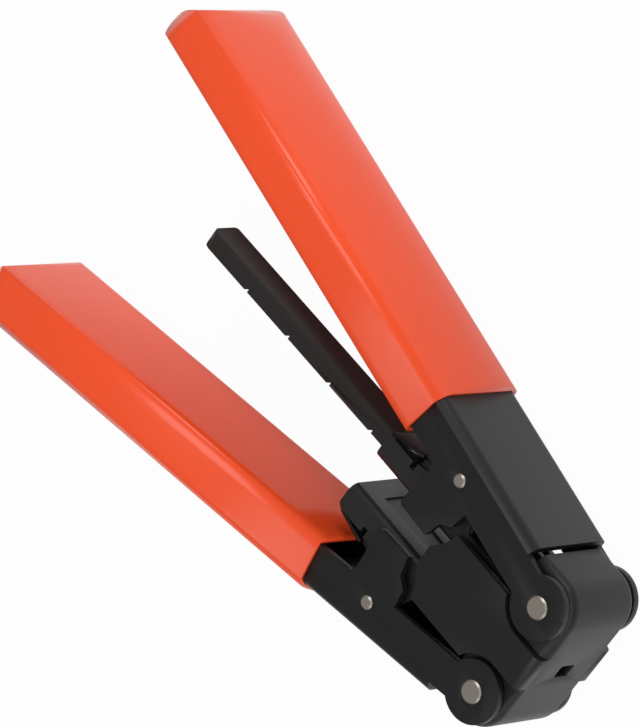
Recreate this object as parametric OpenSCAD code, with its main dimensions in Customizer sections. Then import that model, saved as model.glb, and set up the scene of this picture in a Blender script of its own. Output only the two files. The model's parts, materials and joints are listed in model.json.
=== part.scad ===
// Drop-cable stripping pliers: two dipped lever arms, a pressed head frame,
// two parallel jaws with form blades, and a notched guide rail.
// Lengths in millimetres. The tool lies on its side: +X runs to the nose,
// +Y to the upper arm, +Z along the pivot rivets. The origin is the bottom
// centre of the tool's box, with the arms open.

/* [Head] */
// Half the distance between the two pivot rivets
pivot_y = 12.1; // [11.5:0.1:13]
// Diameter of the pivot rivets
pivot_d = 5; // [4:0.25:5.5]
// Diameter of the jaw pins
jaw_pin_d = 3; // [2.5:0.25:3.5]
// Distance from a pivot rivet back to the jaw pin of the same arm
jaw_pin_reach = 31.2; // [30:0.2:32]
// Radius of the head frame round each pivot
frame_r = 7.5; // [7.2:0.1:8]
// Sheet thickness of the head frame and the jaws
frame_t = 1.5; // [1.2:0.1:1.6]
// Width of the cable hole in the nose, across the jaws
hole_w = 4.6; // [4:0.2:6]
// Height of the cable hole in the nose
hole_h = 3.2; // [2.4:0.2:4]
// Half width of the raised centre plate
plate_half_w = 8.9; // [8:0.1:8.9]
// Distance from the pivots back to the shoulders of the centre plate
plate_len = 23.7; // [20:0.1:23.9]

/* [Arms] */
// Angle of each open arm to the tool's axis
arm_angle = 10; // [9:0.5:11]
// Outside width of the arm channel
arm_w = 26; // [25:0.5:29]
// Sheet thickness of the arms
arm_t = 1.6; // [1.4:0.1:1.8]
// Distance from the pivot out to the back of the channel
arm_back = 6.8; // [6.4:0.1:7]
// Depth of the channel's sides past the pivot line
arm_edge = 3.2; // [2.8:0.1:3.4]
// Outside radius of the channel's bends
arm_bend_r = 2.4; // [2:0.1:3]
// Length of each arm behind its pivot
arm_len = 136; // [115:1:136]

/* [Grips] */
// Distance from the pivot back to the front end of the grip
grip_front = 47.2; // [46:0.5:55]
// Distance from the pivot back to the end of the grip
grip_len = 152; // [150:1:165]
// Wall of the grip on the flat sides of the arm
grip_side_wall = 1.3; // [1.1:0.1:1.8]
// Wall of the grip under the edges of the channel
grip_inner_wall = 2; // [1.6:0.1:2.6]
// Wall of the grip at the crown of its back
grip_crown_wall = 2.8; // [2.6:0.1:3.4]
// Radius of the crown across the back of the grip
grip_crown_r = 34; // [30:1:50]
// Radius that rounds the end of the grip towards its back
grip_tip_r = 15; // [13:0.5:15]

/* [Jaws] */
// Distance from the tool's axis to each open jaw face
jaw_open = 3.95; // [3.8:0.05:4.4]
// Distance from the pivots back to the rear end of the jaws
jaw_len = 51.5; // [50:0.5:55]
// Height of the jaw sides at their rear end
jaw_h = 6.15; // [5.6:0.05:6.3]
// Depth of the cable groove in the jaw faces
groove_d = 0.4; // [0.2:0.1:0.6]
// Width of the cable groove in the jaw faces
groove_w = 6.8; // [5:0.2:8]
// Width of the cable that the blades cut
cable_w = 2.1; // [1.8:0.1:3.1]
// Thickness of the cable that the blades cut
cable_h = 1.6; // [1.2:0.1:1.8]
// Thickness of the blades
blade_t = 0.8; // [0.5:0.1:1]
// Thickness of the spring strip
spring_t = 0.8; // [0.5:0.1:0.9]

/* [Guide rail] */
// Length of the rail that shows behind the jaws
rail_len = 62.5; // [50:0.5:75]
// Outside width of the rail
rail_w = 9.4; // [8:0.2:11]
// Height of the rail
rail_h = 3.9; // [3.2:0.1:4.4]
// Sheet thickness of the rail
rail_t = 1.2; // [0.8:0.1:1.3]
// Distance between the length notches
notch_pitch = 14.3; // [10:0.1:15]
// Number of length notches
notch_count = 4; // [1:1:4]
// Lean of the rail towards the lower jaw
rail_lean = 1; // [0:0.1:1.5]

/* [Hidden] */

$fn = 64;
// Cuts run this far past the faces that they open
over = 1;
// Radial clearance of a pin in its hole
run_fit = 0.05;
// Side clearance between flat parts that slide on each other
slide_fit = 0.2;
// How far the pins stand out of the arms, and the chamfer on their ends
pin_stand = 0.45;
pin_chamfer = 0.35;

// Levels across the tool, measured from its middle plane
arm_half = arm_w/2;
arm_inner = arm_half - arm_t;
washer_t = 0.4;
washer_gap = 0.05;
cheek_out = arm_inner - washer_t - 2*washer_gap;
cheek_in = cheek_out - frame_t;
plate_out = arm_half;
plate_in = plate_out - frame_t;
jaw_half = cheek_in - slide_fit;
jaw_inner = jaw_half - frame_t;
grip_half = arm_half + grip_side_wall;

// Jaw pin, from the tool's axis
pin_x = -jaw_pin_reach*cos(arm_angle);
pin_y = pivot_y + jaw_pin_reach*sin(arm_angle);

// Lobe of each arm, in the arm's own frame: the arms stop when the lobes meet
lobe_depth = 15;
lobe_front = 27.6;
lobe_rear = 36.8;
lobe_gap = 0.1;
lobe_low_x = -lobe_rear*cos(arm_angle) - lobe_depth*sin(arm_angle);
lobe_low_y = lobe_rear*sin(arm_angle) - lobe_depth*cos(arm_angle);
lobe_reach = norm([lobe_low_x, lobe_low_y]);
close_angle = asin((pivot_y - lobe_gap)/lobe_reach) - asin(-lobe_low_y/lobe_reach);
// Travel of each jaw, and of its pin along the slot, as the arms close
jaw_travel = -pin_x*sin(close_angle) + (pin_y - pivot_y)*(1 - cos(close_angle));
slot_travel = (pin_y - pivot_y)*sin(close_angle) - pin_x*(cos(close_angle) - 1);

// End of the grip: a large round to its back and a small one to its inside
grip_out = arm_back + grip_crown_wall;
grip_in = arm_edge + grip_inner_wall;
grip_heel_r = 4;
grip_tip_x = -(grip_len - grip_tip_r);
grip_tip_y = grip_out - grip_tip_r;
grip_heel_y = grip_heel_r - grip_in;
grip_heel_x = grip_tip_x - sqrt(pow(grip_tip_r - grip_heel_r, 2) - pow(grip_heel_y - grip_tip_y, 2));

// Box of the whole tool
nose_x = frame_r;
rear_x = grip_heel_x*cos(arm_angle) + grip_heel_y*sin(arm_angle) - grip_heel_r;
mid_x = (nose_x + rear_x)/2;

// Puts a piece modelled round the pivots at its place in the tool's own frame
module placed() { translate([-mid_x, 0, grip_half]) children(); }
// Side 1 is the upper half of the tool, side -1 the lower half
module on_side(side) { placed() mirror([0, side < 0 ? 1 : 0, 0]) children(); }
// An arm's own frame: origin on its pivot, -X along the arm, +Y to its back
module on_arm(side) { on_side(side) translate([0, pivot_y, 0]) rotate([0, 0, -arm_angle]) children(); }
// Extrudes an outline drawn in XY to both sides of the middle plane
module through(half) { translate([0, 0, -half]) linear_extrude(2*half) children(); }
// Extrudes a section drawn as (Y, Z) along X
module along_x(x0, x1) { translate([x0, 0, 0]) rotate([90, 0, 90]) linear_extrude(x1 - x0) children(); }
// Extrudes a plan drawn as (X, Z) along Y
module along_y(y0, y1) { translate([0, y1, 0]) rotate([90, 0, 0]) linear_extrude(y1 - y0) children(); }

// Section of a filled channel: back at y = top, round corners there, open edge at y = -depth
module channel_fill(half, top, depth, r) {
    translate([-depth, -half]) square([depth + top - r, 2*half]);
    translate([-depth, r - half]) square([depth + top, 2*(half - r)]);
    for (s = [-1, 1]) translate([top - r, s*(half - r)]) circle(r);
}
// Section of a sheet channel
module channel(half, top, depth, r, t) {
    difference() {
        channel_fill(half, top, depth, r);
        channel_fill(half - t, top - t, depth + over, r - t);
    }
}
// Straight slot with round ends, through the part
module slot_cut(x0, x1, y, r, half) {
    for (x = [x0, x1]) translate([x, y, -half]) cylinder(h = 2*half, r = r);
    translate([x0, y - r, -half]) cube([x1 - x0, 2*r, 2*half]);
}
// Pin along Z with chamfered ends
module plain_pin(r, half, c) {
    rotate_extrude() polygon([[0, -half], [r - c, -half], [r, c - half], [r, half - c], [r - c, half], [0, half]]);
}
module ring(r_in, r_out, z0, h) {
    translate([0, 0, z0]) difference() {
        cylinder(h = h, r = r_out);
        translate([0, 0, -over]) cylinder(h = h + 2*over, r = r_in);
    }
}

// ---- Head frame -------------------------------------------------------
wing_len = 7.2;
frame_bend_r = 2;
plate_bend_r = 1.9;
plate_gap_r = arm_back + 1.1;
nose_half_w = 4.2;
hole_r = 0.6;

// The rounded block that the frame wraps, shrunk by e all round
module frame_block(e, back) {
    r = frame_r - e;
    h = cheek_out - e;
    b = frame_bend_r - e;
    for (s = [-1, 1]) translate([0, s*pivot_y, 0]) rotate_extrude() {
        translate([0, -h]) square([r - b, 2*h]);
        translate([0, b - h]) square([r, 2*(h - b)]);
        for (k = [-1, 1]) translate([r - b, k*(h - b)]) intersection() {
            circle(b);
            translate([0, -b]) square([b, 2*b]);
        }
    }
    along_y(-pivot_y, pivot_y) channel_fill(h, r, 0, b);
    for (s = [0, 1]) mirror([0, s, 0]) along_x(-back, 0) channel_fill(h, pivot_y + r, 0, b);
}
// Outline of the raised centre plate, shrunk by e all round
module plate_outline(e) {
    w = plate_half_w - e;
    difference() {
        union() {
            translate([-plate_len + e, -w]) square([plate_len - e, 2*w]);
            translate([-over, e - nose_half_w]) square([nose_x - e + over, 2*(nose_half_w - e)]);
            polygon([[-plate_len, -w], [-plate_len - 1.2, -5.4], [-plate_len - 3.5 + e, -2.6],
                     [-plate_len - 3.5 + e, 2.6], [-plate_len - 1.2, 5.4], [-plate_len, w]]);
        }
        for (s = [-1, 1]) translate([0, s*pivot_y]) circle(plate_gap_r + e);
    }
}
// The raised block under both centre plates, folded over at the nose
module plate_block(e, back) {
    intersection() {
        through(plate_out - e) plate_outline(e);
        along_y(-plate_half_w, plate_half_w) translate([-back, e - plate_out])
            square([back + nose_x - e - plate_bend_r, 2*(plate_out - e)]);
    }
    intersection() {
        through(plate_out - e) plate_outline(e);
        along_y(-plate_half_w, plate_half_w) {
            r = plate_bend_r - e;
            translate([nose_x - e - r - over, e + r - plate_out]) square([r + over, 2*(plate_out - e - r)]);
            for (s = [-1, 1]) translate([nose_x - e - r, s*(plate_out - e - r)]) circle(r);
        }
    }
}
module head_frame() {
    color("#1b1b1d") placed() difference() {
        union() {
            frame_block(0, wing_len);
            plate_block(0, wing_len);
            difference() {
                plate_block(0, 2*plate_len);
                through(plate_in) square(4*plate_len, center = true);
            }
        }
        frame_block(frame_t, wing_len + over);
        plate_block(frame_t, wing_len + over);
        for (s = [-1, 1]) translate([0, s*pivot_y, -arm_w]) cylinder(h = 2*arm_w, r = pivot_d/2 + run_fit);
        along_x(nose_x - frame_t - over, nose_x + over) {
            translate([-hole_h/2, hole_r - hole_w/2]) square([hole_h, hole_w - 2*hole_r]);
            translate([hole_r - hole_h/2, -hole_w/2]) square([hole_h - 2*hole_r, hole_w]);
            for (y = [-1, 1], z = [-1, 1])
                translate([y*(hole_h/2 - hole_r), z*(hole_w/2 - hole_r)]) circle(hole_r, $fn = 24);
        }
    }
}

// ---- Rivets, washers, pins -------------------------------------------
module pivot_rivet(side) {
    color("#9a9184") on_side(side) translate([0, pivot_y, 0])
        plain_pin(pivot_d/2, arm_half + pin_stand, pin_chamfer);
}
module pivot_washers(side) {
    color("#8c8a86") on_side(side) translate([0, pivot_y, 0]) for (s = [0, 1]) mirror([0, 0, s])
        ring(pivot_d/2 + run_fit, pivot_d/2 + 2, cheek_out + washer_gap, washer_t);
}
module jaw_pin(side) {
    color("#9a9184") on_side(side) translate([pin_x, pin_y, 0])
        plain_pin(jaw_pin_d/2, arm_half + pin_stand, pin_chamfer);
}
module pin_spacers(side) {
    color("#8c8a86") on_side(side) translate([pin_x, pin_y, 0]) for (s = [0, 1]) mirror([0, 0, s])
        ring(jaw_pin_d/2 + run_fit, jaw_pin_d/2 + 1.2, jaw_half + slide_fit/2, arm_inner - jaw_half - slide_fit);
}

// ---- Arms -------------------------------------------------------------
// Distance behind the pivot where the back of the channel starts
web_front = 9.7;
ear_r = arm_back;
lobe_step = [25, 7.4];
lobe_corner = [27.2, 9.6];
lobe_round = 1.2;
lobe_fillet = 2;

// Side view of an arm, in its own frame
module arm_outline() {
    circle(ear_r);
    difference() {
        union() {
            translate([-arm_len, -arm_edge]) square([arm_len, arm_edge + arm_back]);
            polygon([[-lobe_step[0], 0], [-lobe_step[0], -lobe_step[1]], -lobe_corner,
                     [-lobe_front, -lobe_depth + 1.1], [-lobe_rear + lobe_round, -lobe_depth],
                     [-lobe_rear, -lobe_depth + lobe_round],
                     [-lobe_rear - 0.4, -arm_edge - lobe_fillet],
                     [-lobe_rear - 0.4 - lobe_fillet, -arm_edge], [-lobe_rear - 4, 0]]);
            translate([-lobe_rear + lobe_round, -lobe_depth + lobe_round]) circle(lobe_round);
        }
        translate([-lobe_rear - 0.4 - lobe_fillet, -arm_edge - lobe_fillet]) circle(lobe_fillet);
        translate([-ear_r, 0]) square([2*ear_r, 2*ear_r]);
    }
}
module arm(side) {
    color("#161618") on_arm(side) difference() {
        union() {
            intersection() {
                along_x(-arm_len, -web_front) channel(arm_half, arm_back, lobe_depth + over, arm_bend_r, arm_t);
                through(arm_w) arm_outline();
            }
            for (s = [0, 1]) mirror([0, 0, s]) translate([0, 0, arm_inner]) linear_extrude(arm_t) {
                circle(ear_r);
                translate([-web_front - 1, -arm_edge]) square([web_front + 1, arm_edge + arm_back - 2.2]);
            }
        }
        translate([0, 0, -arm_w]) cylinder(h = 2*arm_w, r = pivot_d/2 + run_fit);
        translate([-jaw_pin_reach, 0, -arm_w]) cylinder(h = 2*arm_w, r = jaw_pin_d/2 + run_fit);
    }
}

// ---- Grips ------------------------------------------------------------
grip_edge_r = 3.5;
grip_inner_r = 3;
grip_plan_r = 7;
grip_seat = 0.05;

// Cross-section of the grip as (Y, Z): a crowned back, rounded edges, a flat inside
module grip_section() {
    crown_y = grip_out - grip_crown_r;
    edge_z = grip_half - grip_edge_r;
    edge_y = crown_y + sqrt(pow(grip_crown_r - grip_edge_r, 2) - edge_z*edge_z);
    crown_z = edge_z*grip_crown_r/(grip_crown_r - grip_edge_r);
    intersection() {
        translate([crown_y, 0]) circle(grip_crown_r, $fn = 128);
        translate([edge_y, -crown_z]) square([grip_out, 2*crown_z]);
    }
    for (s = [-1, 1]) {
        translate([edge_y, s*edge_z]) circle(grip_edge_r);
        translate([grip_inner_r - grip_in, s*(grip_half - grip_inner_r)]) circle(grip_inner_r);
    }
    translate([grip_inner_r - grip_in, -grip_half]) square([grip_in - grip_inner_r + edge_y, 2*grip_half]);
    translate([-grip_in, grip_inner_r - grip_half])
        square([grip_in + edge_y + 1, 2*(grip_half - grip_inner_r)]);
}
// Side view of the grip as (X, Y)
module grip_side() {
    translate([grip_tip_x, -grip_in]) square([-grip_front - grip_tip_x, grip_in + grip_out + over]);
    intersection() {
        translate([grip_tip_x, grip_tip_y]) circle(grip_tip_r, $fn = 128);
        translate([-grip_len, grip_heel_y]) square([grip_len, grip_out + over - grip_heel_y]);
    }
    translate([grip_heel_x, -grip_in]) square([grip_tip_x - grip_heel_x + 1, grip_in + grip_heel_y + 1]);
    translate([grip_heel_x, grip_heel_y]) circle(grip_heel_r);
}
// Plan of the grip as (X, Z)
module grip_plan() {
    translate([grip_plan_r - grip_len, -grip_half])
        square([grip_len - grip_plan_r - grip_front, 2*grip_half]);
    translate([-grip_len, grip_plan_r - grip_half])
        square([grip_plan_r + over, 2*(grip_half - grip_plan_r)]);
    for (s = [-1, 1]) translate([grip_plan_r - grip_len, s*(grip_half - grip_plan_r)]) circle(grip_plan_r);
}
module grip(side) {
    color("#ff5424") on_arm(side) difference() {
        intersection() {
            along_x(-grip_len - over, over) grip_section();
            through(arm_w) grip_side();
            along_y(-arm_w, arm_w) grip_plan();
        }
        along_x(-arm_len - grip_seat, over)
            channel_fill(arm_half + grip_seat, arm_back + grip_seat, arm_edge + grip_seat, arm_bend_r + grip_seat);
    }
}

// ---- Jaws -------------------------------------------------------------
jaw_bend_r = 2;
jaw_front = 3;
tab_h = 4.9;
fork_half = 4.4;
fork_top = 3.5;
pin_lobe_r = 3.4;
groove_start = 5;
screw_z = 4.5;
screw_y = 6.3;
screw_d = 2;
blade_gap = 0.05;
blade_y = jaw_travel + blade_gap;

// Side view of the upper jaw: low sides, a lobe round the jaw pin, a fork on the pivot rivet
module jaw_outline() {
    top = jaw_open + jaw_h;
    difference() {
        union() {
            polygon([[-jaw_len, jaw_open], [jaw_front, jaw_open], [fork_half, jaw_open + 2],
                     [fork_half, pivot_y + fork_top], [-fork_half, pivot_y + fork_top],
                     [-fork_half, jaw_open + tab_h], [pin_x + 7, jaw_open + tab_h],
                     [pin_x + pin_lobe_r, pin_y - 1], [pin_x, pin_y], [pin_x - pin_lobe_r + 0.4, pin_y - 2],
                     [pin_x - 9.3, top + 0.9], [-jaw_len + 9.2, top + 0.5], [-jaw_len + 9.2, top - 1.5],
                     [-jaw_len + 7.9, top - 1.5], [-jaw_len + 7.9, top], [-jaw_len + 1, top],
                     [-jaw_len, top - 1]]);
            translate([pin_x, pin_y]) circle(pin_lobe_r);
        }
        translate([0, pivot_y]) circle(pivot_d/2 + run_fit);
        translate([-pivot_d/2 - run_fit, pivot_y]) square([pivot_d + 2*run_fit, fork_top + over]);
    }
}
module screw_holes(r) {
    for (s = [-1, 1]) translate([0, screw_y, s*screw_z]) rotate([0, 90, 0])
        translate([0, 0, -over]) cylinder(h = jaw_front + 2*over + blade_t, r = r);
}
module jaw(side) {
    color("#1f1f21") on_side(side) difference() {
        union() {
            intersection() {
                mirror([0, 1, 0]) along_x(-jaw_len - over, fork_half + over)
                    channel(jaw_half, -jaw_open, pin_y + arm_w, jaw_bend_r, frame_t);
                through(arm_w) jaw_outline();
            }
            translate([jaw_front - frame_t, jaw_open, -jaw_inner]) cube([frame_t, tab_h, 2*jaw_inner]);
        }
        slot_cut(pin_x - slot_travel - run_fit, pin_x, pin_y, jaw_pin_d/2 + run_fit, arm_w);
        translate([groove_start - jaw_len, jaw_open - over, -groove_w/2])
            cube([jaw_len, over + groove_d, groove_w]);
        // The web ends at the blade, and only the sides run on to the fork
        translate([jaw_front, 0, -jaw_inner]) cube([2*fork_half, 2*pivot_y, 2*jaw_inner]);
        screw_holes(screw_d/2 + run_fit);
        if (side > 0) rail_rivet_holes();
    }
}

// ---- Blades -----------------------------------------------------------
blade_half = 7.2;
bevel_h = 1.2;
edge_t = 0.12;

module blade(side) {
    color("#b9bcc0") on_side(side) difference() {
        translate([0, 0, -blade_half]) linear_extrude(2*blade_half)
            polygon([[jaw_front, blade_y], [jaw_front + edge_t, blade_y], [jaw_front + blade_t, blade_y + bevel_h],
                     [jaw_front + blade_t, jaw_open + tab_h], [jaw_front, jaw_open + tab_h]]);
        along_x(jaw_front - over, jaw_front + blade_t + over) translate([blade_y - blade_gap, 0]) {
            for (s = [-1, 1]) translate([0, s*(cable_w - cable_h)/2]) circle(cable_h/2);
            translate([-cable_h/2, -(cable_w - cable_h)/2]) square([cable_h, cable_w - cable_h]);
        }
        screw_holes(screw_d/2 + run_fit);
    }
}
module blade_screws(side) {
    head_r = 1.85;
    head_h = 1;
    seat_x = jaw_front + blade_t;
    color("#a7a9ac") on_side(side) for (s = [-1, 1]) translate([0, screw_y, s*screw_z]) difference() {
        rotate([0, 90, 0]) {
            translate([0, 0, jaw_front - frame_t]) cylinder(h = frame_t + blade_t, r = screw_d/2);
            translate([0, 0, seat_x]) cylinder(h = head_h, r = head_r);
        }
        translate([seat_x + head_h/2, -0.25, -head_r - over]) cube([head_h, 0.5, 2*(head_r + over)]);
    }
}

// ---- Return springs ---------------------------------------------------
loop_gap = 0.6;
leg_spread = acos(0.96);
spring_half = 7.3;
foot_half = 8.5;
foot_len = 8;
leg_len = 15;

// A strip bent to a hairpin round the jaw pin: one leg on the jaw, one under the arm's back
// Hairpin of flat strip: both legs run back from the loop, tangent to it
module return_spring(side) {
    r_in = jaw_pin_d/2 + loop_gap;
    r_out = r_in + spring_t;
    loop_x = pin_x - slot_travel/2;
    dx = loop_x + jaw_len - 1.2;
    dy = pin_y - jaw_open - jaw_h;
    // The lower leg's underside touches the jaw at its rear edge
    reach = sqrt(dx*dx + dy*dy - r_out*r_out);
    lean = atan(dy/dx) - asin(r_out/norm([dx, dy]));
    color("#2a2a2d") on_side(side) translate([loop_x, pin_y, 0]) rotate([0, 0, lean]) {
        translate([0, 0, -spring_half]) linear_extrude(2*spring_half) {
            difference() {
                circle(r_out);
                circle(r_in);
                translate([-r_out - over, -r_out - over]) square([r_out + over, r_out + 2*over]);
                rotate(-leg_spread) translate([-r_out - over, 0]) square([r_out + over, r_out + over]);
            }
            translate([-reach, -r_out]) square([reach, spring_t]);
            rotate(-leg_spread) translate([-leg_len, r_in]) square([leg_len, spring_t]);
        }
        translate([-reach, -r_out, -foot_half]) cube([foot_len, spring_t, 2*foot_half]);
    }
}

// ---- Guide rail -------------------------------------------------------
rail_r = 1.2;
rail_end_r = 2.2;
rail_gap = 2;
tongue_len = 10.5;
notch_d = 0.8;
rail_edge = jaw_open + 0.35;
rail_top = rail_edge + rail_h;
rail_front = -jaw_len - rail_gap;
tongue_y = jaw_open + frame_t;
rivet_d = 2.4;
rivet_xs = [-jaw_len + 2.4, -jaw_len + 7.6];

module rail_rivet_holes() {
    for (x = rivet_xs) translate([x, 0, 0]) rotate([-90, 0, 0]) cylinder(h = rail_top, r = rivet_d/2 + run_fit);
}
// Leans the rail about the fold where it leaves the jaw
module leaned() { translate([rail_front, rail_top, 0]) rotate([0, 0, rail_lean]) translate([-rail_front, -rail_top, 0]) children(); }

module guide_rail() {
    rear = rail_front - rail_len;
    half = rail_w/2;
    color("#242124") on_side(1) difference() {
        union() {
            leaned() difference() {
                intersection() {
                    along_x(rear, rail_front) translate([rail_edge, 0]) channel(half, rail_h, 0, rail_r, rail_t);
                    along_y(0, rail_top + over) {
                        translate([rear + rail_end_r, -half]) square([rail_len, rail_w]);
                        translate([rear, rail_end_r - half]) square([rail_len, rail_w - 2*rail_end_r]);
                        for (s = [-1, 1]) translate([rear + rail_end_r, s*(half - rail_end_r)]) circle(rail_end_r);
                    }
                }
                for (i = [0:notch_count - 1]) translate([rail_front - 4 - i*notch_pitch, rail_edge, 0])
                    through(rail_w) polygon([[0, -over], [0, notch_d], [-2.2, -over]]);
            }
            through(half) polygon([[rail_front - 0.02, rail_top], [rail_front - 0.02, rail_top - rail_t],
                [-jaw_len - 0.4, tongue_y], [tongue_len - jaw_len, tongue_y],
                [tongue_len - jaw_len, tongue_y + rail_t], [-jaw_len, tongue_y + rail_t]]);
        }
        rail_rivet_holes();
    }
}
module rail_rivets() {
    head_h = 0.8;
    head_r = 2;
    base = jaw_open + groove_d;
    color("#7d7b78") on_side(1) for (x = rivet_xs) translate([x, 0, 0]) rotate([-90, 0, 0]) {
        translate([0, 0, base]) cylinder(h = tongue_y + rail_t - base, r = rivet_d/2);
        translate([0, 0, tongue_y + rail_t]) cylinder(h = head_h, r = head_r);
    }
}

head_frame();
pivot_rivet(1);  // upper_pivot_rivet
pivot_rivet(-1);  // lower_pivot_rivet
pivot_washers(1);  // upper_pivot_washers
pivot_washers(-1);  // lower_pivot_washers
arm(1);  // upper_arm
arm(-1);  // lower_arm
grip(1);  // upper_grip
grip(-1);  // lower_grip
jaw_pin(1);  // upper_jaw_pin
jaw_pin(-1);  // lower_jaw_pin
pin_spacers(1);  // upper_pin_spacers
pin_spacers(-1);  // lower_pin_spacers
jaw(1);  // upper_jaw
jaw(-1);  // lower_jaw
blade(1);  // upper_blade
blade(-1);  // lower_blade
blade_screws(1);  // upper_blade_screws
blade_screws(-1);  // lower_blade_screws
return_spring(1);  // upper_return_spring
return_spring(-1);  // lower_return_spring
guide_rail();
rail_rivets();
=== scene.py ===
"""Drop-cable stripping pliers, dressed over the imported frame: coated pressings,
dipped grips, riveted pins, ground blades, and a plain studio to see them in."""

import json
import math

import bmesh
import bpy
from bpy.props import (
    FloatProperty,
    FloatVectorProperty,
    PointerProperty,
)
from mathutils import Matrix, Vector


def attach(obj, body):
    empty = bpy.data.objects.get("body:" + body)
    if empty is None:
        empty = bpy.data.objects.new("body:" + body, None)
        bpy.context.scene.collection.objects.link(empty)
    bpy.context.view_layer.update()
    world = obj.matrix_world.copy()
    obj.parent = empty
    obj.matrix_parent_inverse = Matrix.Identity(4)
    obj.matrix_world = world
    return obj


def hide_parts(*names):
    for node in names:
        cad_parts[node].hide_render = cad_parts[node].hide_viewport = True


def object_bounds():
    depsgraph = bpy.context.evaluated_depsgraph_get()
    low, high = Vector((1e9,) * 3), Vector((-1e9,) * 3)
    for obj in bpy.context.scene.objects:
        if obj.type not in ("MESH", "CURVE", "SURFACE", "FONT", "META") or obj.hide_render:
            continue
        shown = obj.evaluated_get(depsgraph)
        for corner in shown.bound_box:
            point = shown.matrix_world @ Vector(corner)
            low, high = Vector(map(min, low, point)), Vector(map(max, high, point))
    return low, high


bl_info = {
    "name": "Drop-cable stripping pliers",
    "version": (1, 0, 0),
    "blender": (4, 5, 0),
    "location": "3D View > Sidebar > Pliers",
    "description": "Dresses the packed stripping pliers and sets up their studio",
    "category": "Object",
}

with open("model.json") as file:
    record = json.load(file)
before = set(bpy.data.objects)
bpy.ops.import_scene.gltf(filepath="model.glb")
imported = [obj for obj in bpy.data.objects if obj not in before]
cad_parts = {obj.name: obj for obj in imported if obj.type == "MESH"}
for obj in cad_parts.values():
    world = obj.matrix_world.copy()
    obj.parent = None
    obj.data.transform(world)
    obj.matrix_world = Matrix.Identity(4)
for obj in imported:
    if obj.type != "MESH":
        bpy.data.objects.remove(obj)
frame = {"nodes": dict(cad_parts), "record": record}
CAD_BOX = [list(corner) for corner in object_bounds()]

# A welded copy of a CAD mesh: points this near are one, and faces whose angle
# is under this are one flat face
WELD_DISTANCE = 2e-7
FLAT_ANGLE = math.radians(0.4)
# Edges sharper than this are broken, in this many steps
SHARP_ANGLE = math.radians(32)
EDGE_STEPS = 2
# A thin black coat on steel reflects less than a plain plastic
COAT_SPECULAR = 0.34
# Soft boxes: name, direction from the target, distance, size and level of light
LAMPS = (
    ("top_box", (0.35, 0.15, 0.95), 1.3, (0.9, 0.9), 0.42),
    ("rear_box", (-0.19, 0.84, 0.49), 1.1, (0.7, 0.35), 0.3),
    ("front_box", (0.8, -0.45, 0.55), 1.4, (0.8, 0.6), 0.14),
)
# Half width of the floor, and the camera's sensor and clipping
FLOOR_HALF = 4
SENSOR_WIDTH = 36
CLIP_NEAR, CLIP_FAR = 0.05, 20


# ---------------------------------------------------------------- settings


class PressingSettings(bpy.types.PropertyGroup):
    edge_round: FloatProperty(
        name="Edge round",
        description="Radius of the broken edges of the arms and the head",
        default=0.00022,
        min=0.00005,
        max=0.0005,
        unit="LENGTH",
        precision=5,
    )
    thin_edge_round: FloatProperty(
        name="Thin edge round",
        description="Radius of the broken edges of the jaws, rail and springs",
        default=0.00014,
        min=0.00003,
        max=0.0003,
        unit="LENGTH",
        precision=5,
    )
    coat_colour: FloatVectorProperty(
        name="Coat",
        description="Colour of the black coat on the arms and the head",
        subtype="COLOR",
        size=3,
        min=0,
        max=1,
        default=(0.006, 0.006, 0.0068),
    )
    oxide_colour: FloatVectorProperty(
        name="Oxide",
        description="Colour of the black oxide on the jaws and springs",
        subtype="COLOR",
        size=3,
        min=0,
        max=1,
        default=(0.008, 0.008, 0.009),
    )
    rail_colour: FloatVectorProperty(
        name="Rail",
        description="Colour of the matte coat on the guide rail",
        subtype="COLOR",
        size=3,
        min=0,
        max=1,
        default=(0.013, 0.011, 0.011),
    )
    worn_colour: FloatVectorProperty(
        name="Bare steel",
        description="Colour of the steel that shows on worn edges",
        subtype="COLOR",
        size=3,
        min=0,
        max=1,
        default=(0.30, 0.29, 0.28),
    )


class GripSettings(bpy.types.PropertyGroup):
    colour: FloatVectorProperty(
        name="Vinyl",
        description="Colour of the dipped vinyl",
        subtype="COLOR",
        size=3,
        min=0,
        max=1,
        default=(1.0, 0.085, 0.02),
    )
    roughness: FloatProperty(
        name="Roughness",
        description="Roughness of the vinyl's skin",
        default=0.3,
        min=0.05,
        max=0.8,
    )


class FastenerSettings(bpy.types.PropertyGroup):
    rivet_colour: FloatVectorProperty(
        name="Rivet steel",
        description="Colour of the rivets and jaw pins",
        subtype="COLOR",
        size=3,
        min=0,
        max=1,
        default=(0.50, 0.45, 0.40),
    )
    blade_colour: FloatVectorProperty(
        name="Blade steel",
        description="Colour of the ground blades",
        subtype="COLOR",
        size=3,
        min=0,
        max=1,
        default=(0.55, 0.56, 0.58),
    )


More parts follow.
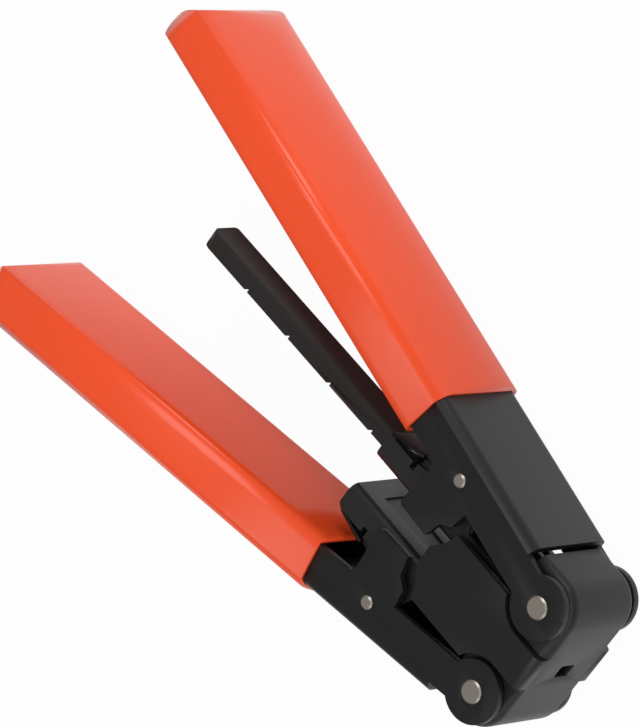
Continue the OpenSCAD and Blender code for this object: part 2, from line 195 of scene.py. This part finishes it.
class StageSettings(bpy.types.PropertyGroup):
    azimuth: FloatProperty(
        name="Azimuth",
        description="Direction of the camera round the pliers",
        default=math.radians(137.326),
        subtype="ANGLE",
    )
    elevation: FloatProperty(
        name="Elevation",
        description="Height of the camera above the floor",
        default=math.radians(52.451),
        subtype="ANGLE",
    )
    roll: FloatProperty(
        name="Roll",
        description="Turn of the camera about its own line of sight",
        default=math.radians(94.221),
        subtype="ANGLE",
    )
    distance: FloatProperty(
        name="Distance",
        description="Distance from the camera to its target",
        default=1.2072,
        min=0.2,
        unit="LENGTH",
    )
    target: FloatVectorProperty(
        name="Target",
        description="Point that the camera looks at",
        subtype="TRANSLATION",
        unit="LENGTH",
        size=3,
        default=(-0.00811, 0.00314, 0.0143),
    )
    lens: FloatProperty(
        name="Lens",
        description="Focal length in millimetres",
        default=287.29,
        min=20,
        max=500,
    )
    floor_colour: FloatVectorProperty(
        name="Floor",
        description="Colour of the floor",
        subtype="COLOR",
        size=3,
        min=0,
        max=1,
        default=(0.86, 0.86, 0.86),
    )
    floor_white: FloatProperty(
        name="Floor white",
        description="Share of plain white in the floor as it is seen",
        default=0.96,
        min=0,
        max=1,
        subtype="FACTOR",
    )
    world_level: FloatProperty(
        name="World level",
        description="Brightness of the room",
        default=0.32,
        min=0,
        max=2,
    )


class PliersSettings(bpy.types.PropertyGroup):
    pressings: PointerProperty(type=PressingSettings)
    grips: PointerProperty(type=GripSettings)
    fasteners: PointerProperty(type=FastenerSettings)
    stage: PointerProperty(type=StageSettings)


# ---------------------------------------------------------------- materials


def group_of(name, inputs, outputs):
    """A new shader node group with its two end nodes, or None with the one that is there."""
    if name in bpy.data.node_groups:
        return bpy.data.node_groups[name], None, None
    tree = bpy.data.node_groups.new(name, "ShaderNodeTree")
    for label, kind, value in inputs:
        socket = tree.interface.new_socket(label, in_out="INPUT", socket_type=kind)
        if value is not None:
            socket.default_value = value
    for label, kind in outputs:
        tree.interface.new_socket(label, in_out="OUTPUT", socket_type=kind)
    start = tree.nodes.new("NodeGroupInput")
    end = tree.nodes.new("NodeGroupOutput")
    return tree, start, end


def noise(tree, vector, scale, detail, roughness=0.5):
    """A noise texture whose vector and scale come from sockets."""
    node = tree.nodes.new("ShaderNodeTexNoise")
    node.inputs["Detail"].default_value = detail
    node.inputs["Roughness"].default_value = roughness
    tree.links.new(vector, node.inputs["Vector"])
    if isinstance(scale, float):
        node.inputs["Scale"].default_value = scale
    else:
        tree.links.new(scale, node.inputs["Scale"])
    return node.outputs["Fac"]


def fit_range(tree, value, low, high, out_low, out_high):
    """Maps a value to a range; each end is a number or a socket."""
    node = tree.nodes.new("ShaderNodeMapRange")
    tree.links.new(value, node.inputs["Value"])
    for label, end in (
        ("From Min", low),
        ("From Max", high),
        ("To Min", out_low),
        ("To Max", out_high),
    ):
        if isinstance(end, (int, float)):
            node.inputs[label].default_value = end
        else:
            tree.links.new(end, node.inputs[label])
    return node.outputs["Result"]


def calculate(tree, operation, a, b):
    """A maths node on two values; each is a number or a socket."""
    node = tree.nodes.new("ShaderNodeMath")
    node.operation = operation
    for k, value in enumerate((a, b)):
        if isinstance(value, (int, float)):
            node.inputs[k].default_value = value
        else:
            tree.links.new(value, node.inputs[k])
    return node.outputs["Value"]


def grain_group():
    """Fine grain of a coat or a skin: an uneven roughness and a small height."""
    tree, start, end = group_of(
        "Fine Grain",
        [
            ("Vector", "NodeSocketVector", None),
            ("Scale", "NodeSocketFloat", 900.0),
            ("Smooth", "NodeSocketFloat", 0.25),
            ("Rough", "NodeSocketFloat", 0.4),
        ],
        [("Roughness", "NodeSocketFloat"), ("Height", "NodeSocketFloat")],
    )
    if start:
        fine = noise(tree, start.outputs["Vector"], start.outputs["Scale"], 2.0)
        wide = noise(tree, start.outputs["Vector"], 60.0, 3.0)
        uneven = fit_range(
            tree, wide, 0.35, 0.65, start.outputs["Smooth"], start.outputs["Rough"]
        )
        tree.links.new(uneven, end.inputs["Roughness"])
        tree.links.new(fine, end.inputs["Height"])
    return tree


def wear_group():
    """Where handling has worn a coat: on outside edges, broken up by noise."""
    tree, start, end = group_of(
        "Edge Wear",
        [
            ("Vector", "NodeSocketVector", None),
            ("Amount", "NodeSocketFloat", 0.5),
            ("Scale", "NodeSocketFloat", 350.0),
        ],
        [("Worn", "NodeSocketFloat")],
    )
    if start:
        shape = tree.nodes.new("ShaderNodeNewGeometry")
        edge = fit_range(tree, shape.outputs["Pointiness"], 0.53, 0.60, 0.0, 1.0)
        patchy = noise(tree, start.outputs["Vector"], start.outputs["Scale"], 4.0, 0.6)
        patch = fit_range(tree, patchy, 0.44, 0.62, 0.0, 1.0)
        worn = calculate(tree, "MULTIPLY", edge, patch)
        worn = calculate(tree, "MULTIPLY", worn, start.outputs["Amount"])
        tree.links.new(worn, end.inputs["Worn"])
    return tree


def tint_group():
    """Breaks up a flat colour: a slightly paler and a slightly deeper tone of it."""
    tree, start, end = group_of(
        "Uneven Tone",
        [
            ("Vector", "NodeSocketVector", None),
            ("Colour", "NodeSocketColor", (0.5, 0.5, 0.5, 1)),
            ("Second", "NodeSocketColor", (0.5, 0.5, 0.5, 1)),
            ("Scale", "NodeSocketFloat", 80.0),
        ],
        [("Colour", "NodeSocketColor")],
    )
    if start:
        cloud = noise(tree, start.outputs["Vector"], start.outputs["Scale"], 4.0)
        share = fit_range(tree, cloud, 0.3, 0.7, 0.0, 1.0)
        mix = tree.nodes.new("ShaderNodeMix")
        mix.data_type = "RGBA"
        tree.links.new(share, mix.inputs["Factor"])
        tree.links.new(start.outputs["Colour"], mix.inputs["A"])
        tree.links.new(start.outputs["Second"], mix.inputs["B"])
        tree.links.new(mix.outputs["Result"], end.inputs["Colour"])
    return tree


def mix_colour(tree, share, a, b):
    """Mixes two colours; each is three numbers or a socket."""
    node = tree.nodes.new("ShaderNodeMix")
    node.data_type = "RGBA"
    tree.links.new(share, node.inputs["Factor"])
    for label, colour in (("A", a), ("B", b)):
        if isinstance(colour, bpy.types.NodeSocket):
            tree.links.new(colour, node.inputs[label])
        else:
            node.inputs[label].default_value = (*colour, 1)
    return node.outputs["Result"]


def new_material(name):
    material = bpy.data.materials.new(name)
    material.use_nodes = True
    tree = material.node_tree
    shader = tree.nodes["Principled BSDF"]
    coords = tree.nodes.new("ShaderNodeTexCoord")
    return material, tree, shader, coords.outputs["Object"]


def place_group(tree, group, **values):
    """Adds a group node; each value is a number, a colour or a socket."""
    node = tree.nodes.new("ShaderNodeGroup")
    node.node_tree = group
    for label, value in values.items():
        socket = node.inputs[label]
        if isinstance(value, bpy.types.NodeSocket):
            tree.links.new(value, socket)
        elif isinstance(value, (int, float)):
            socket.default_value = value
        else:
            socket.default_value = (*value, 1)
    return node


def add_bump(tree, shader, height, strength, distance):
    bump = tree.nodes.new("ShaderNodeBump")
    bump.inputs["Strength"].default_value = strength
    bump.inputs["Distance"].default_value = distance
    tree.links.new(height, bump.inputs["Height"])
    tree.links.new(bump.outputs["Normal"], shader.inputs["Normal"])


def paler(colour, factor):
    return tuple(min(1.0, c * factor) for c in colour)


def coated_steel(name, colour, bare, smooth, rough, worn, grain=900.0, bump=0.06):
    """Black coat or oxide over steel, rubbed through on its edges."""
    if name in bpy.data.materials:
        return bpy.data.materials[name]
    material, tree, shader, where = new_material(name)
    tone = place_group(
        tree,
        tint_group(),
        Vector=where,
        Colour=colour,
        Second=paler(colour, 1.5),
        Scale=45.0,
    )
    grains = place_group(
        tree, grain_group(), Vector=where, Scale=grain, Smooth=smooth, Rough=rough
    )
    wear = place_group(tree, wear_group(), Vector=where, Amount=worn)
    share = wear.outputs["Worn"]
    tree.links.new(
        mix_colour(tree, share, tone.outputs["Colour"], bare),
        shader.inputs["Base Color"],
    )
    tree.links.new(share, shader.inputs["Metallic"])
    tree.links.new(grains.outputs["Roughness"], shader.inputs["Roughness"])
    shader.inputs["Specular IOR Level"].default_value = COAT_SPECULAR
    add_bump(tree, shader, grains.outputs["Height"], bump, 0.00005)
    return material


def bare_steel(name, colour, smooth, rough, metallic, scale, bump):
    """Uncoated steel with a mottled or ground surface."""
    if name in bpy.data.materials:
        return bpy.data.materials[name]
    material, tree, shader, where = new_material(name)
    tone = place_group(
        tree,
        tint_group(),
        Vector=where,
        Colour=paler(colour, 0.75),
        Second=paler(colour, 1.15),
        Scale=scale,
    )
    grains = place_group(
        tree, grain_group(), Vector=where, Scale=scale * 1.6, Smooth=smooth, Rough=rough
    )
    tree.links.new(tone.outputs["Colour"], shader.inputs["Base Color"])
    shader.inputs["Metallic"].default_value = metallic
    tree.links.new(grains.outputs["Roughness"], shader.inputs["Roughness"])
    add_bump(tree, shader, grains.outputs["Height"], bump, 0.0001)
    return material


def dipped_vinyl(settings):
    """Glossy vinyl whose skin is a little uneven, as it dries on the arm."""
    name = "grip_vinyl"
    if name in bpy.data.materials:
        return bpy.data.materials[name]
    material, tree, shader, where = new_material(name)
    colour = tuple(settings.colour)
    tone = place_group(
        tree,
        tint_group(),
        Vector=where,
        Colour=colour,
        Second=(colour[0] * 0.96, colour[1] * 0.9, colour[2] * 0.85),
        Scale=30.0,
    )
    grains = place_group(
        tree,
        grain_group(),
        Vector=where,
        Scale=260.0,
        Smooth=settings.roughness - 0.04,
        Rough=settings.roughness + 0.05,
    )
    tree.links.new(tone.outputs["Colour"], shader.inputs["Base Color"])
    tree.links.new(grains.outputs["Roughness"], shader.inputs["Roughness"])
    ripple = noise(tree, where, 75.0, 1.0)
    add_bump(tree, shader, ripple, 0.12, 0.0006)
    return material


def all_materials():
    """Every finish of the pliers, by the record's name for it."""
    settings = bpy.context.scene.pliers
    press, fasten = settings.pressings, settings.fasteners
    bare = tuple(press.worn_colour)
    rivet, blade = tuple(fasten.rivet_colour), tuple(fasten.blade_colour)
    return {
        "black_steel": coated_steel(
            "black_steel", tuple(press.coat_colour), bare, 0.24, 0.34, 0.8
        ),
        "jaw_steel": coated_steel(
            "jaw_steel", tuple(press.oxide_colour), bare, 0.34, 0.46, 0.9
        ),
        "rail_steel": coated_steel(
            "rail_steel", tuple(press.rail_colour), bare, 0.46, 0.6, 0.5
        ),
        "spring_steel": coated_steel(
            "spring_steel", tuple(press.oxide_colour), bare, 0.3, 0.42, 0.8
        ),
        "grip_vinyl": dipped_vinyl(settings.grips),
        "rivet_steel": bare_steel("rivet_steel", rivet, 0.34, 0.5, 0.75, 900.0, 0.35),
        "washer_steel": bare_steel(
            "washer_steel", (0.25, 0.25, 0.25), 0.35, 0.5, 0.9, 500.0, 0.1
        ),
        "blade_steel": bare_steel("blade_steel", blade, 0.2, 0.3, 1.0, 700.0, 0.08),
        "screw_steel": bare_steel(
            "screw_steel", (0.4, 0.4, 0.41), 0.3, 0.4, 1.0, 600.0, 0.1
        ),
    }


# ---------------------------------------------------------------- meshes


def body_of_node(node):
    """The body that a CAD node rides on."""
    return next(
        body
        for body, nodes in frame["record"]["behaviour"]["bodies"].items()
        if node in nodes
    )


def merged_copy(nodes, name):
    """A welded copy of some CAD nodes' meshes, flat faces joined up."""
    bm = bmesh.new()
    for node in nodes:
        bm.from_mesh(frame["nodes"][node].data)
    bmesh.ops.remove_doubles(bm, verts=bm.verts, dist=WELD_DISTANCE)
    bmesh.ops.dissolve_limit(
        bm,
        angle_limit=FLAT_ANGLE,
        verts=bm.verts,
        edges=bm.edges,
        use_dissolve_boundaries=False,
    )
    mesh = bpy.data.meshes.new(name)
    bm.to_mesh(mesh)
    bm.free()
    mesh.materials.clear()
    return mesh


def add_object(name, mesh):
    thing = bpy.data.objects.new(name, mesh)
    bpy.context.scene.collection.objects.link(thing)
    return thing


def plain_mesh(thing):
    """Turns an object and its modifiers into an object with a plain mesh."""
    bpy.context.view_layer.update()
    graph = bpy.context.evaluated_depsgraph_get()
    mesh = bpy.data.meshes.new_from_object(
        thing.evaluated_get(graph), preserve_all_data_layers=True, depsgraph=graph
    )
    thing.modifiers.clear()
    thing.data = mesh
    return thing


def finish_piece(thing, nodes, material):
    """Gives a finished piece its material and its place in the frame."""
    mesh = thing.data
    mesh.materials.clear()
    mesh.materials.append(material)
    for face in mesh.polygons:
        face.material_index = 0
    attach(thing, body_of_node(nodes[0]))
    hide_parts(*nodes)
    return thing


def broken_edges(name, nodes, slot, width):
    """A CAD piece with its sharp edges broken and its curves shaded smooth."""
    thing = add_object(name, merged_copy(nodes, name))
    thing.data.shade_smooth()
    bevel = thing.modifiers.new("Edges", "BEVEL")
    bevel.width = width
    bevel.segments = EDGE_STEPS
    bevel.limit_method = "ANGLE"
    bevel.angle_limit = SHARP_ANGLE
    bevel.harden_normals = True
    bevel.use_clamp_overlap = True
    plain_mesh(thing)
    return finish_piece(thing, nodes, all_materials()[slot])


# ---------------------------------------------------------------- operators


class PLIERS_OT_pressings(bpy.types.Operator):
    """Breaks the edges of the head, arms, jaws, rail and springs and coats them"""

    bl_idname = "pliers.pressings"
    bl_label = "Dress pressings"

    def execute(self, context):
        press = context.scene.pliers.pressings
        wide, thin = press.edge_round, press.thin_edge_round
        broken_edges("head_shell", ["head_frame"], "black_steel", wide)
        for name in ("upper", "lower"):
            broken_edges(name + "_lever", [name + "_arm"], "black_steel", wide)
            broken_edges(name + "_jaw_body", [name + "_jaw"], "jaw_steel", thin)
            broken_edges(
                name + "_spring", [name + "_return_spring"], "spring_steel", thin
            )
        broken_edges("rail", ["guide_rail"], "rail_steel", thin)
        return {"FINISHED"}


class PLIERS_OT_blades(bpy.types.Operator):
    """Finishes the blades, their screws and the small washers"""

    bl_idname = "pliers.blades"
    bl_label = "Dress blades"

    def execute(self, context):
        finishes = all_materials()
        for node, slot in (
            ("upper_blade", "blade_steel"),
            ("lower_blade", "blade_steel"),
            ("upper_blade_screws", "screw_steel"),
            ("lower_blade_screws", "screw_steel"),
            ("upper_pivot_washers", "washer_steel"),
            ("lower_pivot_washers", "washer_steel"),
            ("upper_pin_spacers", "washer_steel"),
            ("lower_pin_spacers", "washer_steel"),
            ("rail_rivets", "rivet_steel"),
            ("upper_pivot_rivet", "rivet_steel"),
            ("lower_pivot_rivet", "rivet_steel"),
            ("upper_jaw_pin", "rivet_steel"),
            ("lower_jaw_pin", "rivet_steel"),
        ):
            thing = frame["nodes"][node]
            thing.data.materials.clear()
            thing.data.materials.append(finishes[slot])
        return {"FINISHED"}


class PLIERS_OT_grips(bpy.types.Operator):
    """Makes the two dipped grips round the levers"""

    bl_idname = "pliers.grips"
    bl_label = "Make grips"

    def execute(self, context):
        vinyl = all_materials()["grip_vinyl"]
        for name in ("upper", "lower"):
            node = name + "_grip"
            mesh = merged_copy([node], name + "_sleeve")
            thing = add_object(name + "_sleeve", mesh)
            thing.data.shade_smooth()
            plain_mesh(thing)
            finish_piece(thing, [node], vinyl)
        return {"FINISHED"}


def lamp(name, target, direction, distance, size, level):
    """A soft box that gives the target about that level of light."""
    data = bpy.data.lights.new(name, "AREA")
    data.shape = "RECTANGLE"
    data.size, data.size_y = size
    data.energy = level * math.pi**2 * distance**2
    thing = bpy.data.objects.new(name, data)
    bpy.context.scene.collection.objects.link(thing)
    away = Vector(direction).normalized()
    thing.location = Vector(target) + away * distance
    thing.rotation_mode = "QUATERNION"
    thing.rotation_quaternion = away.to_track_quat("Z", "Y")


class PLIERS_OT_stage(bpy.types.Operator):
    """Sets up the floor, the room, the soft boxes and the camera"""

    bl_idname = "pliers.stage"
    bl_label = "Set up stage"

    def execute(self, context):
        scene = context.scene
        stage = scene.pliers.stage
        scene.view_settings.view_transform = "Standard"
        self.room(scene, stage)
        self.floor(stage)
        target = tuple(stage.target)
        for name, direction, distance, size, level in LAMPS:
            lamp(name, target, direction, distance, size, level)
        self.camera(scene, stage)
        return {"FINISHED"}

    def room(self, scene, stage):
        world = bpy.data.worlds.new("room")
        world.use_nodes = True
        tree = world.node_tree
        back = tree.nodes["Background"]
        back.inputs["Color"].default_value = (1, 1, 1, 1)
        path = tree.nodes.new("ShaderNodeLightPath")
        level = fit_range(
            tree, path.outputs["Is Camera Ray"], 0, 1, stage.world_level, 1.0
        )
        tree.links.new(level, back.inputs["Strength"])
        scene.world = world

    def floor(self, stage):
        material = bpy.data.materials.new("floor_white")
        material.use_nodes = True
        tree = material.node_tree
        tree.nodes.clear()
        out = tree.nodes.new("ShaderNodeOutputMaterial")
        matte = tree.nodes.new("ShaderNodeBsdfDiffuse")
        matte.inputs["Color"].default_value = (*stage.floor_colour, 1)
        white = tree.nodes.new("ShaderNodeEmission")
        white.inputs["Color"].default_value = (1, 1, 1, 1)
        path = tree.nodes.new("ShaderNodeLightPath")
        seen = calculate(
            tree,
            "ADD",
            path.outputs["Is Camera Ray"],
            path.outputs["Is Glossy Ray"],
        )
        seen = calculate(tree, "ADD", seen, path.outputs["Is Transmission Ray"])
        share = fit_range(tree, seen, 0, 1, 0.0, stage.floor_white)
        mix = tree.nodes.new("ShaderNodeMixShader")
        tree.links.new(share, mix.inputs["Fac"])
        tree.links.new(matte.outputs[0], mix.inputs[1])
        tree.links.new(white.outputs[0], mix.inputs[2])
        tree.links.new(mix.outputs[0], out.inputs["Surface"])
        bm = bmesh.new()
        bmesh.ops.create_grid(bm, x_segments=1, y_segments=1, size=FLOOR_HALF)
        mesh = bpy.data.meshes.new("floor")
        bm.to_mesh(mesh)
        bm.free()
        mesh.materials.append(material)
        floor = add_object("floor", mesh)
        floor.location.z = CAD_BOX[0][2]

    def camera(self, scene, stage):
        data = bpy.data.cameras.new("camera")
        data.lens = stage.lens
        data.sensor_width = SENSOR_WIDTH
        data.clip_start, data.clip_end = CLIP_NEAR, CLIP_FAR
        thing = bpy.data.objects.new("camera", data)
        scene.collection.objects.link(thing)
        a, e = stage.azimuth, stage.elevation
        back = Vector(
            (math.sin(a) * math.cos(e), -math.cos(a) * math.cos(e), math.sin(e))
        )
        up = Vector(
            (-math.sin(a) * math.sin(e), math.cos(a) * math.sin(e), math.cos(e))
        )
        right = up.cross(back)
        turned = up * math.cos(stage.roll) + right * math.sin(stage.roll)
        axes = Matrix((turned.cross(back), turned, back)).transposed()
        thing.rotation_mode = "QUATERNION"
        thing.rotation_quaternion = axes.to_quaternion()
        thing.location = Vector(stage.target) + back * stage.distance
        scene.camera = thing


class PLIERS_PT_panel(bpy.types.Panel):
    """Lists the pieces of the pliers and their stage"""

    bl_label = "Stripping pliers"
    bl_idname = "PLIERS_PT_panel"
    bl_space_type = "VIEW_3D"
    bl_region_type = "UI"
    bl_category = "Pliers"

    def draw(self, context):
        layout = self.layout
        settings = context.scene.pliers
        for operator, group in PARTS:
            box = layout.box()
            box.operator(operator.bl_idname)
            if group:
                part = getattr(settings, group)
                for name in type(part).__annotations__:
                    box.prop(part, name)


PARTS = (
    (PLIERS_OT_pressings, "pressings"),
    (PLIERS_OT_grips, "grips"),
    (PLIERS_OT_blades, "fasteners"),
    (PLIERS_OT_stage, "stage"),
)
CLASSES = (
    PressingSettings,
    GripSettings,
    FastenerSettings,
    StageSettings,
    PliersSettings,
    *(operator for operator, _ in PARTS),
    PLIERS_PT_panel,
)


def register():
    for item in CLASSES:
        bpy.utils.register_class(item)
    bpy.types.Scene.pliers = PointerProperty(type=PliersSettings)


def unregister():
    del bpy.types.Scene.pliers
    for item in reversed(CLASSES):
        bpy.utils.unregister_class(item)


def main():
    register()
    bpy.ops.pliers.pressings()
    bpy.ops.pliers.grips()
    bpy.ops.pliers.blades()
    bpy.ops.pliers.stage()


if __name__ == "__main__":
    main()
